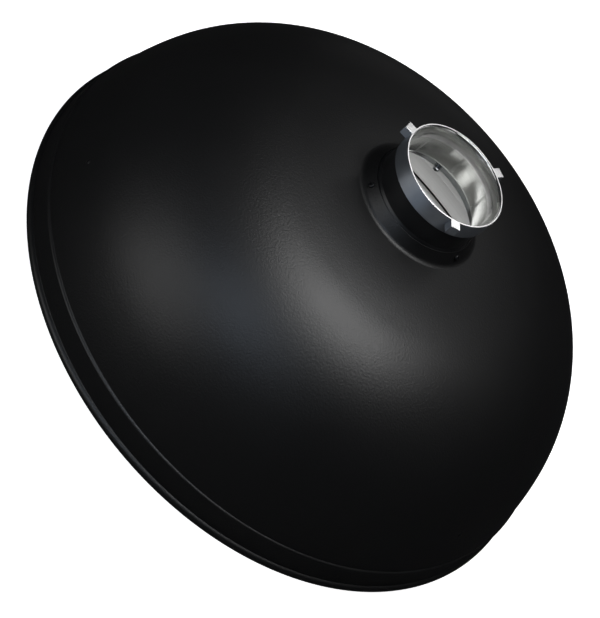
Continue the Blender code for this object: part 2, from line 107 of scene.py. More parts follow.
# Neck
NECK_RADIUS = 47.6 * MM
NECK_WALL = 1.5 * MM
NECK_BEND = 2.0 * MM
NECK_FOOT_END = 9.3 * MM

# Seat screws, nuts and washers
SCREW_DOWN_SEAT = 5.9 * MM
SCREW_SHANK = 1.4 * MM
SCREW_HOLE = 1.75 * MM
SCREW_HEAD_RADIUS = 2.8 * MM
SCREW_HEAD_HEIGHT = 1.5 * MM
SCREW_SOCKET_RADIUS = 1.15 * MM
SCREW_SOCKET_DEPTH = 0.9 * MM
SCREW_HEAD_SIDE = 0.3 * MM  # upright edge of the head under its dome
SCREW_TIP = 0.3 * MM
SCREW_PAST_NUT = 0.8 * MM
HOLE_REACH = 5.0 * MM       # half length of a drill through sheet
WASHER_RADIUS = 3.1 * MM
WASHER_HEIGHT = 0.5 * MM
NUT_RADIUS = 3.0 * MM
NUT_HEIGHT = 2.0 * MM
NUT_CHAMFER = 0.35 * MM
THREAD_PITCH = 0.5 * MM
THREAD_DEPTH = 0.16 * MM
THREAD_CREST = 0.15         # where the crest ends and the root lies, as shares of the pitch
THREAD_ROOT = 0.55

# Deflector posts
POST_CIRCLE = 64.0 * MM
STUD_FLANGE_RADIUS = 5.0 * MM
STUD_FLANGE_HEIGHT = 0.8 * MM
STUD_PIN_RADIUS = 1.7 * MM
STUD_PIN_LENGTH = 7.0 * MM
POST_BASE_RADIUS = 4.5 * MM
POST_BASE_LENGTH = 9.0 * MM
POST_RADIUS = 2.5 * MM
POST_LENGTH = 104.0 * MM
POST_THREAD_RADIUS = 2.0 * MM
POST_THREAD_LENGTH = 5.0 * MM
POST_SHOULDER = 1.5 * MM  # taper from the base to the rod
END_NUT_RADIUS = 4.5 * MM
END_NUT_LENGTH = 7.0 * MM
END_NUT_NOSE = 2.0 * MM
END_NUT_TIP = 0.5 * MM
END_NUT_ROOM = 0.5 * MM   # between the post's end and the nut's blind bore
FLUTE_RADIUS = 0.35 * MM  # cutter of the knurled heads
FLUTE_OUTSIDE = 0.1 * MM  # how far its middle lies outside the head

# Deflector
PLATE_RADIUS = 85.0 * MM
PLATE_SHEET = 1.5 * MM
PLATE_DOME = (110.0 * MM, 24.0)  # bend radius and end slope
PLATE_DOME_FILLET = 15.0 * MM
PLATE_LIP_BEND = 4.0 * MM
PLATE_LIP_SLOPE = 85.0
PLATE_LIP_LENGTH = 2.0 * MM
COLLAR_RADIUS = 6.0 * MM
COLLAR_HEIGHT = 11.0 * MM
COLLAR_SPIGOT_RADIUS = 4.0 * MM
COLLAR_SPIGOT_LENGTH = 2.6 * MM
THUMB_HEIGHT = 5.5 * MM
THUMB_SHANK = 1.2 * MM
THUMB_HEAD_RADIUS = 3.6 * MM
THUMB_HEAD_START = 7.5 * MM
THUMB_HEAD_LENGTH = 4.5 * MM
THUMB_HOLE_END = 9.0 * MM

# Grid clips and rivets
RIVET_DEPTH = 160.6 * MM
RIVET_SHANK = 1.4 * MM
RIVET_HOLE = 1.7 * MM
RIVET_HEAD_RADIUS = 2.3 * MM
RIVET_HEAD_HEIGHT = 0.7 * MM
RIVET_TAIL_RADIUS = 2.7 * MM
RIVET_TAIL_HEIGHT = 1.0 * MM
CLIP_GAP = 0.6 * MM
CLIP_SHEET = 0.8 * MM
CLIP_WIDTH = 12.0 * MM
CLIP_CORNER = 1.5 * MM
# Side line of a clip: distance down the wall and rise from it, in millimetres
CLIP_SIDE = ((-5.0, 0.0), (4.0, 0.0), (30.0, 7.0), (37.0, 5.4))
CLIP_BEND = 2.5        # length of each leg that a bend rounds, in millimetres
CLIP_BEND_STEPS = 6
CLIP_SINK = 0.34 * MM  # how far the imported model's facets lie inside the true wall

# Facets
DISH_STEPS = 240
MOUNT_STEPS = 180
PLATE_STEPS = 144
SMALL_STEPS = 40
STAGE_STEPS = 120
CREASE_ANGLE = 35.0
CORNER_SHARE = 0.45  # most of a side that the rounding of one corner takes
TRIO = (1, 2, 3)     # fasteners, posts, lugs and clips all come in threes
UNMOVED = Matrix.Identity(4)

# Camera and light
CAMERA_PLACE = (0.0, -1.5201, 1.3264)
CAMERA_TARGET = (0.0036, 0.0, 0.0113)
CAMERA_ROLL = 50.56
CAMERA_LENS = 135.05
LIGHT_CENTRE = (0.0, 0.0, 0.14)
WHITE = (1.0, 1.0, 1.0)
COOL_WHITE = (0.82, 0.96, 1.16)
SOFTBOXES = (            # name, direction, distance, size, power, colour
    ("overhead_softbox", (0.115, 0.05, 0.99), 1.5, 0.8, 15.5, WHITE),
    ("front_softbox", (-0.59, -0.75, 0.28), 1.5, 0.9, 4.2, WHITE),
    ("fill_softbox", (-0.16, -0.64, 0.75), 1.5, 0.7, 3.0, COOL_WHITE),
    ("back_softbox", (0.0, 0.756, 0.654), 1.5, 0.2, 0.25, WHITE),
    ("edge_softbox", (-0.2, 0.97, 0.05), 1.6, 0.7, 0.12, WHITE),
)
SNOOT_DIRECTION = (0.26, 0.60, 0.75)
SNOOT_DISTANCE = 1.5
SNOOT_WIDTH = 56.0 * MM  # across its pool of light on the mount
SNOOT_POWER = 230.0
ROOM_COLOUR = (0.008, 0.008, 0.0084)

# Paper under the dish: a dark sheet of painted shade inside the rim, and glowing strips of painted light
# along it
FLOOR_RADIUS = 12.0
FLOOR_DROP = 1.0 * MM
PAPER_DROP = 0.5 * MM
PAINTED_SHADE_RADIUS = 0.232
PAINTED_LIGHT_RADIUS = 0.257
# Painted light: glowing strips along the rim stand in for light falling on the floor there; side, bearings
# and glow
PAINTED_LIGHT_STRIPS = (("back", (58.0, 135.0), 0.95), ("left", (135.0, 215.0), 1.4), ("front", (215.0, 315.0), 1.0))


class Section:
    """Outer line of a sheet's section, walked outwards and down from its start."""

    def __init__(self, radius, height, slope):
        self.points = [(radius, height, slope)]

    def line(self, length):
        """Run straight on at the present slope."""
        radius, height, slope = self.points[-1]
        angle = math.radians(slope)
        self.points.append((radius + length * math.cos(angle), height - length * math.sin(angle), slope))

    def bend(self, bend_radius, end_slope, steps):
        """Turn along a tangent arc until the slope is end_slope."""
        radius, height, slope = self.points[-1]
        side = 1.0 if end_slope > slope else -1.0
        start = math.radians(slope)
        for step in range(1, steps + 1):
            here = slope + (end_slope - slope) * step / steps
            angle = math.radians(here)
            out = side * bend_radius * (math.sin(angle) - math.sin(start))
            down = side * bend_radius * (math.cos(start) - math.cos(angle))
            self.points.append((radius + out, height - down, here))

    def outer(self):
        """The outer line's points as radius and height."""
        return [point[:2] for point in self.points]

    def inner(self, thickness):
        """The inner line's points, one sheet thickness below the outer line."""
        line = []
        for radius, height, slope in self.points:
            angle = math.radians(slope)
            inner_radius = max(radius - thickness * math.sin(angle), 0.0)
            line.append((inner_radius, height - thickness * math.cos(angle)))
        return line


# ---------------------------------------------------------------- materials


def principled(name, colour, roughness, metallic=0.0):
    """New material with its node tree and shader; textures may vary its colour and roughness later."""
    made = bpy.data.materials.new(name)
    made.use_nodes = True
    shader = made.node_tree.nodes["Principled BSDF"]
    shader.inputs["Base Color"].default_value = (*colour, 1.0)
    shader.inputs["Roughness"].default_value = roughness
    shader.inputs["Metallic"].default_value = metallic
    return made, made.node_tree, shader


def object_vector(tree):
    """Object coordinates, in metres."""
    return tree.nodes.new("ShaderNodeTexCoord").outputs["Object"]


def turned_vector(tree, across=0.0):
    """Coordinates that follow a lathe's marks: radius and height, with a little of the angle."""
    place = object_vector(tree)
    flat = tree.nodes.new("ShaderNodeVectorMath")
    flat.operation = "MULTIPLY"
    flat.inputs[1].default_value = (1.0, 1.0, 0.0)
    tree.links.new(place, flat.inputs[0])
    length = tree.nodes.new("ShaderNodeVectorMath")
    length.operation = "LENGTH"
    tree.links.new(flat.outputs["Vector"], length.inputs[0])
    split = tree.nodes.new("ShaderNodeSeparateXYZ")
    tree.links.new(place, split.inputs[0])
    side = tree.nodes.new("ShaderNodeMath")
    side.operation = "MULTIPLY"
    side.inputs[1].default_value = across
    tree.links.new(split.outputs["X"], side.inputs[0])
    joined = tree.nodes.new("ShaderNodeCombineXYZ")
    tree.links.new(length.outputs["Value"], joined.inputs["X"])
    tree.links.new(side.outputs["Value"], joined.inputs["Y"])
    tree.links.new(split.outputs["Z"], joined.inputs["Z"])
    return joined.outputs["Vector"]


def noise(tree, vector, size, detail=2.0, roughness=0.5):
    """Noise whose blotches are about size metres across."""
    texture = tree.nodes.new("ShaderNodeTexNoise")
    texture.inputs["Scale"].default_value = 1.0 / size
    texture.inputs["Detail"].default_value = detail
    texture.inputs["Roughness"].default_value = roughness
    tree.links.new(vector, texture.inputs["Vector"])
    return texture.outputs["Fac"]


def spread(tree, value, low, high, start=0.3, end=0.7):
    """Map a texture's middle range onto low to high."""
    mapped = tree.nodes.new("ShaderNodeMapRange")
    mapped.inputs["From Min"].default_value = start
    mapped.inputs["From Max"].default_value = end
    mapped.inputs["To Min"].default_value = low
    mapped.inputs["To Max"].default_value = high
    tree.links.new(value, mapped.inputs["Value"])
    return mapped.outputs["Result"]


def tint(tree, value, first, second):
    """Colour between first and second, chosen by value."""
    mixed = tree.nodes.new("ShaderNodeMix")
    mixed.data_type = "RGBA"
    mixed.inputs["A"].default_value = (*first, 1.0)
    mixed.inputs["B"].default_value = (*second, 1.0)
    tree.links.new(value, mixed.inputs["Factor"])
    return mixed.outputs["Result"]


def vary(tree, shader, gloss_texture, roughness, colour_texture, colours):
    """Let one texture move the roughness and another the colour, each between two values."""
    tree.links.new(spread(tree, gloss_texture, *roughness), shader.inputs["Roughness"])
    share = spread(tree, colour_texture, 0.0, 1.0)
    tree.links.new(tint(tree, share, *colours), shader.inputs["Base Color"])


def relief(tree, shader, heights):
    """Chain of bumps on the shader; heights holds (texture value, depth in metres)."""
    normal = None
    for value, depth in heights:
        node = tree.nodes.new("ShaderNodeBump")
        node.inputs["Strength"].default_value = 1.0
        node.inputs["Distance"].default_value = depth
        tree.links.new(value, node.inputs["Height"])
        if normal is not None:
            tree.links.new(normal, node.inputs["Normal"])
        normal = node.outputs["Normal"]
    tree.links.new(normal, shader.inputs["Normal"])


def turned_grain(tree, shader, amount):
    """Stretch the highlights across a lathe's marks, which run round the axis."""
    tangent = tree.nodes.new("ShaderNodeTangent")
    tangent.direction_type = "RADIAL"
    tangent.axis = "Z"
    tree.links.new(tangent.outputs["Tangent"], shader.inputs["Tangent"])
    shader.inputs["Anisotropic"].default_value = amount
    shader.inputs["Anisotropic Rotation"].default_value = 0.25


def powder_coat():
    """Fine-texture black powder coat of the dish's outside."""
    made, tree, shader = principled("dish_powder_coat", (0.0035, 0.0035, 0.0037), 0.42)
    place = object_vector(tree)
    peel = noise(tree, place, 1.6 * MM, 2.0)
    grain = noise(tree, place, 0.45 * MM, 1.0)
    cloud = noise(tree, place, 90.0 * MM, 3.0)
    vary(tree, shader, cloud, (0.40, 0.44), grain, ((0.0025, 0.0025, 0.0027), (0.0048, 0.0048, 0.005)))
    relief(tree, shader, [(peel, 0.16 * MM), (grain, 0.04 * MM)])
    return made


def silver_lining():
    """Silvery white paint of the dish's inside, with faint spinning rings."""
    made, tree, shader = principled("dish_silver_lining", (0.74, 0.74, 0.73), 0.38)
    rings = noise(tree, turned_vector(tree, 0.02), 2.5 * MM, 2.0)
    grain = noise(tree, object_vector(tree), 0.6 * MM, 1.0)
    vary(tree, shader, grain, (0.34, 0.44), rings, ((0.72, 0.72, 0.71), (0.77, 0.77, 0.76)))
    relief(tree, shader, [(rings, 0.02 * MM), (grain, 0.015 * MM)])
    return made


def neck_black():
    """Satin black of the neck's outside."""
    made, tree, shader = principled("neck_black", (0.0065, 0.0065, 0.007), 0.36)
    rings = noise(tree, turned_vector(tree, 0.05), 0.35 * MM, 2.0)
    cloud = noise(tree, object_vector(tree), 12.0 * MM, 3.0)
    vary(tree, shader, cloud, (0.33, 0.40), cloud, ((0.005, 0.005, 0.0055), (0.008, 0.008, 0.0085)))
    relief(tree, shader, [(rings, 0.01 * MM)])
    return made


def neck_bright():
    """Bright turned aluminium of the neck's inside."""
    made, tree, shader = principled("neck_bright", (0.68, 0.69, 0.67), 0.13, 1.0)
    rings = noise(tree, turned_vector(tree, 0.08), 0.5 * MM, 3.0)
    cloud = noise(tree, object_vector(tree), 15.0 * MM, 3.0)
    vary(tree, shader, cloud, (0.10, 0.16), rings, ((0.62, 0.635, 0.61), (0.74, 0.75, 0.73)))
    relief(tree, shader, [(rings, 0.003 * MM)])
    return made


def ring_grey():
    """Blue-grey anodised wall of the bayonet ring, its highlights stretched by fine turning marks."""
    made, tree, shader = principled("ring_grey", (0.34, 0.365, 0.40), 0.50, 0.9)
    rings = noise(tree, turned_vector(tree, 0.05), 0.3 * MM, 3.0)
    cloud = noise(tree, object_vector(tree), 14.0 * MM, 3.0)
    vary(tree, shader, cloud, (0.47, 0.53), cloud, ((0.31, 0.335, 0.37), (0.37, 0.395, 0.43)))
    relief(tree, shader, [(rings, 0.004 * MM)])
    turned_grain(tree, shader, 0.95)
    return made


def ring_bright():
    """Machined and polished aluminium of the ring's face, funnel and lugs."""
    made, tree, shader = principled("ring_bright", (0.86, 0.86, 0.86), 0.16, 1.0)
    rings = noise(tree, turned_vector(tree, 0.02), 0.25 * MM, 3.0)
    cloud = noise(tree, object_vector(tree), 8.0 * MM, 3.0)
    vary(tree, shader, cloud, (0.13, 0.19), rings, ((0.82, 0.82, 0.82), (0.89, 0.89, 0.89)))
    relief(tree, shader, [(rings, 0.002 * MM)])
    return made


def satin_aluminium():
    """Turned aluminium of the posts, collars and end nuts."""
    made, tree, shader = principled("satin_aluminium", (0.78, 0.78, 0.79), 0.28, 1.0)
    rings = noise(tree, turned_vector(tree, 0.1), 0.3 * MM, 3.0)
    vary(tree, shader, rings, (0.24, 0.34), rings, ((0.74, 0.74, 0.75), (0.82, 0.82, 0.83)))
    relief(tree, shader, [(rings, 0.01 * MM)])
    return made


def white_enamel():
    """Satin white enamel of the deflector, with faint spinning rings."""
    made, tree, shader = principled("white_enamel", (0.66, 0.66, 0.65), 0.36)
    rings = noise(tree, turned_vector(tree, 0.02), 2.0 * MM, 2.0)
    grain = noise(tree, object_vector(tree), 0.8 * MM, 2.0)
    vary(tree, shader, grain, (0.32, 0.42), rings, ((0.64, 0.64, 0.63), (0.69, 0.69, 0.68)))
    relief(tree, shader, [(rings, 0.02 * MM), (grain, 0.01 * MM)])
    return made


def zinc():
    """Mottled zinc plate of the nuts, washers and studs."""
    made, tree, shader = principled("zinc_plate", (0.34, 0.35, 0.37), 0.30, 1.0)
    mottle = noise(tree, object_vector(tree), 1.2 * MM, 3.0)
    vary(tree, shader, mottle, (0.24, 0.38), mottle, ((0.28, 0.29, 0.31), (0.40, 0.41, 0.43)))
    relief(tree, shader, [(mottle, 0.01 * MM)])
    return made


def black_oxide():
    """Oiled black oxide of the screws and rivets."""
    made, tree, shader = principled("black_oxide", (0.012, 0.012, 0.013), 0.30, 0.6)
    mottle = noise(tree, object_vector(tree), 0.8 * MM, 3.0)
    vary(tree, shader, mottle, (0.24, 0.38), mottle, ((0.010, 0.010, 0.011), (0.020, 0.020, 0.021)))
    relief(tree, shader, [(mottle, 0.01 * MM)])
    return made


def spring_steel():
    """Tempered strip steel of the grid clips, brushed along its length."""
    made, tree, shader = principled("spring_steel", (0.48, 0.48, 0.49), 0.28, 1.0)
    stretch = tree.nodes.new("ShaderNodeVectorMath")
    stretch.operation = "MULTIPLY"
    stretch.inputs[1].default_value = (0.06, 1.0, 0.2)
    tree.links.new(object_vector(tree), stretch.inputs[0])
    brush = noise(tree, stretch.outputs["Vector"], 0.3 * MM, 3.0)
    vary(tree, shader, brush, (0.22, 0.36), brush, ((0.42, 0.42, 0.43), (0.54, 0.54, 0.55)))
    relief(tree, shader, [(brush, 0.008 * MM)])
    return made


# ------------------------------------------------------------------- meshes


def soften(outline, size, steps=3, least=25.0):
    """Round a closed outline's corners that turn by more than least degrees."""
    softened = []
    count = len(outline)
    for index, (here, kind) in enumerate(outline):
        before = Vector(outline[index - 1][0])
        after = Vector(outline[(index + 1) % count][0])
        corner = Vector(here)
        back = before - corner
        ahead = after - corner
        turn = math.degrees(back.angle(-ahead)) if back.length > 0 and ahead.length > 0 else 0.0
        on_axis = corner.x < 1e-9
        if turn < least or on_axis:
            softened.append((here, kind))
            continue
        reach = min(size, CORNER_SHARE * back.length, CORNER_SHARE * ahead.length)
        start = corner + back.normalized() * reach
        end = corner + ahead.normalized() * reach
        last_kind = outline[index - 1][1]
        for step in range(steps + 1):
            share = step / steps
            point = start.lerp(corner, share).lerp(corner.lerp(end, share), share)
            softened.append(((point.x, point.y), last_kind if step < steps / 2 else kind))
    return softened


def tagged(points, kind):
    """Outline points that each carry the material number of the stretch after them."""
    return [(point, kind) for point in points]


def lathe(name, outline, steps, materials):
    """Closed body of revolution; each outline entry is ((radius, height), material number)."""
    shape = bmesh.new()
    rings = []
    for (radius, height), kind in outline:
        if radius < 1e-9:
            rings.append([shape.verts.new((0.0, 0.0, height))])
            continue
        ring = []
        for step in range(steps):
            angle = 2.0 * math.pi * step / steps
            ring.append(shape.verts.new((radius * math.cos(angle), radius * math.sin(angle), height)))
        rings.append(ring)
    for index, (_, kind) in enumerate(outline):
        ring = rings[index]
        following = rings[(index + 1) % len(rings)]
        if len(ring) == 1 and len(following) == 1:
            continue
        for step in range(steps):
            turn = (step + 1) % steps
            corners = [ring[step % len(ring)], following[step % len(following)]]
            if len(following) > 1:
                corners.append(following[turn])
            if len(ring) > 1:
                corners.append(ring[turn])
            face = shape.faces.new(corners)
            face.material_index = kind
    bmesh.ops.recalc_face_normals(shape, faces=shape.faces)
    return to_mesh(shape, name, materials)


def to_mesh(shape, name, materials):
    """Turn a bmesh into a smooth-shaded mesh with its materials."""
    mesh = bpy.data.meshes.new(name)
    shape.to_mesh(mesh)
    shape.free()
    for made in materials:
        mesh.materials.append(made)
    shade(mesh)
    return mesh


def shade(mesh):
    """Smooth shading with creases where faces meet at more than the crease angle."""
    mesh.shade_smooth()
    mesh.set_sharp_from_angle(angle=math.radians(CREASE_ANGLE))


def rod_mesh(name, radius, bottom, top, sides, materials=()):
    """Upright rod or prism between two heights."""
    shape = bmesh.new()
    bmesh.ops.create_cone(
        shape, cap_ends=True, segments=sides, radius1=radius, radius2=radius, depth=top - bottom,
        matrix=Matrix.Translation((0.0, 0.0, (top + bottom) / 2.0)),
    )
    return to_mesh(shape, name, materials)


def add_object(mesh, name, matrix=None):
    """Link a mesh as an object."""
    thing = bpy.data.objects.new(name, mesh)
    bpy.context.scene.collection.objects.link(thing)
    thing.matrix_world = matrix or UNMOVED
    return thing


def combined(name, mesh, tools, materials):
    """Mesh with each tool joined or cut; tools holds (mesh, operation, matrix)."""
    thing = add_object(mesh, name)
    helpers = []
    for tool_mesh, operation, matrix in tools:
        helper = add_object(tool_mesh, f"{name}_tool", matrix)
        modifier = thing.modifiers.new(operation.title(), "BOOLEAN")
        modifier.object = helper
        modifier.operation = operation
        modifier.solver = "EXACT"
        helpers.append(helper)
    bpy.context.view_layer.update()
    evaluated = thing.evaluated_get(bpy.context.evaluated_depsgraph_get())
    result = bpy.data.meshes.new_from_object(evaluated)
    result.name = name
    bpy.data.objects.remove(thing, do_unlink=True)
    for helper in helpers:
        bpy.data.objects.remove(helper, do_unlink=True)
    shade(result)
    return result


def stand_in(mesh, node, matrix=None):
    """Show mesh in place of a CAD node, on the same body."""
    piece = add_object(mesh, f"look_{node}", matrix)
    keep_flat = piece.modifiers.new("Flat faces", "WEIGHTED_NORMAL")
    keep_flat.keep_sharp = True
    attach(piece, BODY_OF[node])
    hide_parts(node)
    return piece


def bearing_of(node):
    """Bearing of a CAD node's middle, in degrees."""
    low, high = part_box(node)
    middle = (low + high) / 2.0
    return math.degrees(math.atan2(middle.y, middle.x))


def radial_frame(radius, height, bearing, tilt):
    """Frame whose +Z leans outwards by tilt and whose +X points down the wall."""
    turn = Matrix.Rotation(math.radians(bearing), 4, "Z")
    lean = Matrix.Rotation(math.radians(tilt), 4, "Y")
    return turn @ Matrix.Translation((radius, 0.0, height)) @ lean


def seat_frame(number):
    """Frame of a seat screw: origin on the dish's outer face, +Z square to the seat."""
    slope = math.radians(SEAT_SLOPE)
    radius = SEAT_RADIUS + SCREW_DOWN_SEAT * math.cos(slope)
    height = SEAT_TOP - SCREW_DOWN_SEAT * math.sin(slope)
    return radial_frame(radius, height, bearing_of(f"seat_screw_{number}"), SEAT_SLOPE)


def wall_frame(number):
    """Frame of a clip rivet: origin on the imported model's wall, +Z square to it."""
    height = FACE - RIVET_DEPTH
    points = bowl_section().points
    for upper, lower in zip(points, points[1:]):
        if upper[1] >= height > lower[1]:
            share = (upper[1] - height) / (upper[1] - lower[1])
            radius = upper[0] + share * (lower[0] - upper[0]) - CLIP_SINK
            slope = upper[2] + share * (lower[2] - upper[2])
            return radial_frame(radius, height, bearing_of(f"clip_rivet_{number}"), slope)
    raise ValueError("the rivet lies off the wall")


def post_frame(number):
    """Frame of a deflector post at height zero: +X points away from the dish's axis."""
    return radial_frame(POST_CIRCLE, 0.0, bearing_of(f"deflector_post_{number}"), 0.0)


def bowl_section():
    """Seat, fillet, bowl, step and band of the dish."""
    section = Section(SEAT_RADIUS, SEAT_TOP, SEAT_SLOPE)
    section.line(SEAT_LENGTH)
    section.bend(SEAT_FILLET, 0.0, 12)
    for arc_radius, end_slope, steps in (CROWN, SHOULDER, SKIRT):
        section.bend(arc_radius, end_slope, steps)
    section.bend(STEP_INNER_BEND, STEP_SLOPE, 10)
    section.bend(STEP_OUTER_BEND, BAND_SLOPE, 12)
    band = math.radians(BAND_SLOPE)
    start = math.radians(ROLL_START_SLOPE)
    land = math.radians(LAND_START_SLOPE)
    roll_drop = ROLL_FILLET * (math.cos(start) - math.cos(band))
    roll_drop += ROLL_RADIUS * (math.cos(start) - math.cos(land))
    section.line((section.points[-1][1] - roll_drop) / math.sin(band))
    return section


def rim_section(start):
    """Rolled rim, from the foot of the band round its land to the curl's end inside."""
    section = Section(*start)
    section.bend(ROLL_FILLET, ROLL_START_SLOPE, 8)
    section.bend(ROLL_RADIUS, 90.0, 6)
    section.bend(ROLL_RADIUS, LAND_START_SLOPE, 6)
    section.bend(ROLL_RADIUS, 360.0 - LAND_START_SLOPE, 1)
    section.bend(ROLL_RADIUS, 270.0, 6)
    section.bend(ROLL_RADIUS, CURL_END_SLOPE, 8)
    return section


# ------------------------------------------------------------------- pieces


def make_dish():
    """Spun bowl: black outside and silvery inside, with black in the slit behind the curled rim as painted
    shade of that crease.
    """
    coat = 0
    lining = 1
    section = bowl_section()
    rim = rim_section(section.points[-1])
    outline = tagged(section.outer(), coat)
    for radius, height, slope in rim.points[1:]:
        outline.append(((radius, height), coat if slope < 180.0 else lining))
    inside = section.inner(SHEET)[::-1]
    foot_radius = inside[0][0]
    curl_radius, curl_height = outline.pop()[0]
    slit_floor = curl_height - SLIT_DEPTH
    slit = [(curl_radius, curl_height), (curl_radius + SLIT_LEAN, slit_floor), (foot_radius, slit_floor)]
    # Painted shade: the slit's walls, the lining's foot among them, take the black coat to darken the
    # crease behind the curl.
    outline += tagged(slit, coat)
    outline += tagged(inside, lining)
    outline[-1] = (outline[-1][0], coat)
    outline = soften(outline, 0.3 * MM, 3, 40.0)
    blank = lathe("dish", outline, DISH_STEPS, [powder_coat(), silver_lining()])
    tools = []
    for number in TRIO:
        screw_hole = rod_mesh("hole", SCREW_HOLE, -HOLE_REACH, HOLE_REACH, SMALL_STEPS)
        tools.append((screw_hole, "DIFFERENCE", seat_frame(number)))
        rivet_hole = rod_mesh("hole", RIVET_HOLE, -HOLE_REACH, HOLE_REACH, SMALL_STEPS)
        tools.append((rivet_hole, "DIFFERENCE", wall_frame(number)))
    stand_in(combined("dish", blank, tools, blank.materials), "dish_shell")


def make_bayonet_ring():
    """Ring with a polished funnel, a thin black line of painted shade on the step inside its mouth, and
    three lugs.
    """
    wall = 0
    bright = 1
    dark = 2
    socket_floor = NECK_TOP + GAP
    socket_radius = NECK_RADIUS + GAP
    rise = THROAT_DEPTH - MOUTH_STEP
    flare = FUNNEL_RADIUS - THROAT_RADIUS
    funnel_bend = (rise * rise + flare * flare) / (2.0 * flare)
    outline = [
        ((RING_RADIUS, FACE), wall),
        ((RING_RADIUS, RING_REAR + REAR_CHAMFER), wall),
        ((RING_RADIUS - REAR_CHAMFER, RING_REAR), wall),
        ((socket_radius, RING_REAR), wall),
        ((socket_radius, socket_floor), bright),
        ((THROAT_RADIUS + SOCKET_LIP, socket_floor), bright),
    ]
    sweep = math.asin(rise / funnel_bend)
    for step in range(FUNNEL_STEPS + 1):
        angle = sweep * step / FUNNEL_STEPS
        radius = THROAT_RADIUS + funnel_bend * (1.0 - math.cos(angle))
        outline.append(((radius, FACE - THROAT_DEPTH + funnel_bend * math.sin(angle)), bright))
    # Painted shade: the step's wall takes the neck's black, a dark line where the mouth steps in.
    outline.append(((MOUTH_RADIUS, FACE - MOUTH_STEP), dark))
    outline.append(((MOUTH_RADIUS, FACE), bright))
    outline = soften(outline, 0.22 * MM, 3)
    materials = [ring_grey(), ring_bright(), neck_black()]
    blank = lathe("ring", outline, MOUNT_STEPS, materials)
    tools = []
    for number in TRIO:
        bearing = bearing_of(f"seat_screw_{number}") + LUG_OFFSET
        tools.append((lug_mesh(materials), "UNION", Matrix.Rotation(math.radians(bearing), 4, "Z")))
    stand_in(combined("ring", blank, tools, materials), "bayonet_ring")


def lug_mesh(materials):
    """One lug along +X, its outer edges broken, its top bright."""
    shape = bmesh.new()
    centre = Matrix.Translation(((LUG_ROOT + LUG_REACH) / 2.0, 0.0, FACE - LUG_DEPTH / 2.0))
    size = Matrix.Diagonal((LUG_REACH - LUG_ROOT, LUG_WIDTH, LUG_DEPTH, 1.0))
    bmesh.ops.create_cube(shape, size=1.0, matrix=centre @ size)
    edges = [edge for edge in shape.edges if max(v.co.x for v in edge.verts) > LUG_REACH - 0.1 * MM]
    bmesh.ops.bevel(shape, geom=edges, offset=LUG_ROUNDING, segments=3, profile=0.5, affect="EDGES")
    for face in shape.faces:
        face.material_index = 1 if face.normal.z > 0.6 else 0
    return to_mesh(shape, "lug", materials)


def make_neck():
    """Sheet tube with its foot flared under the seat: black outside, bright inside."""
    black = 0
    bright = 1
    slope = math.radians(SEAT_SLOPE)
    offset = SHEET + GAP
    line_radius = SEAT_RADIUS - offset * math.sin(slope)
    line_height = SEAT_TOP - offset * math.cos(slope)
    bend_out = NECK_BEND * (1.0 - math.sin(slope))
    bend_down = NECK_BEND * math.cos(slope)
    down_line = (NECK_RADIUS + bend_out - line_radius) / math.cos(slope)
    bend_start = line_height - down_line * math.sin(slope) + bend_down
    section = Section(NECK_RADIUS, NECK_TOP, 90.0)
    section.line(NECK_TOP - bend_start)
    section.bend(NECK_BEND, SEAT_SLOPE, 8)
    section.line(NECK_FOOT_END - down_line)
    outline = tagged(section.outer(), black) + tagged(section.inner(NECK_WALL)[::-1], bright)
    outline = soften(outline, 0.2 * MM, 3, 40.0)
    blank = lathe("neck", outline, MOUNT_STEPS, [neck_black(), neck_bright()])
    tools = []
    for number in TRIO:
        hole = rod_mesh("hole", SCREW_HOLE, -HOLE_REACH, HOLE_REACH, SMALL_STEPS)
        tools.append((hole, "DIFFERENCE", seat_frame(number)))
    stand_in(combined("neck", blank, tools, blank.materials), "mount_neck")


def threaded(radius, top, bottom):
    """Outline points of a threaded stretch, drawn as rings, from top to bottom."""
    turns = int((top - bottom) / THREAD_PITCH)
    points = []
    for turn in range(turns):
        height = top - turn * THREAD_PITCH
        points.append((radius, height))
        points.append((radius, height - THREAD_CREST * THREAD_PITCH))
        points.append((radius - THREAD_DEPTH, height - THREAD_ROOT * THREAD_PITCH))
    points.append((radius, top - turns * THREAD_PITCH))
    return points


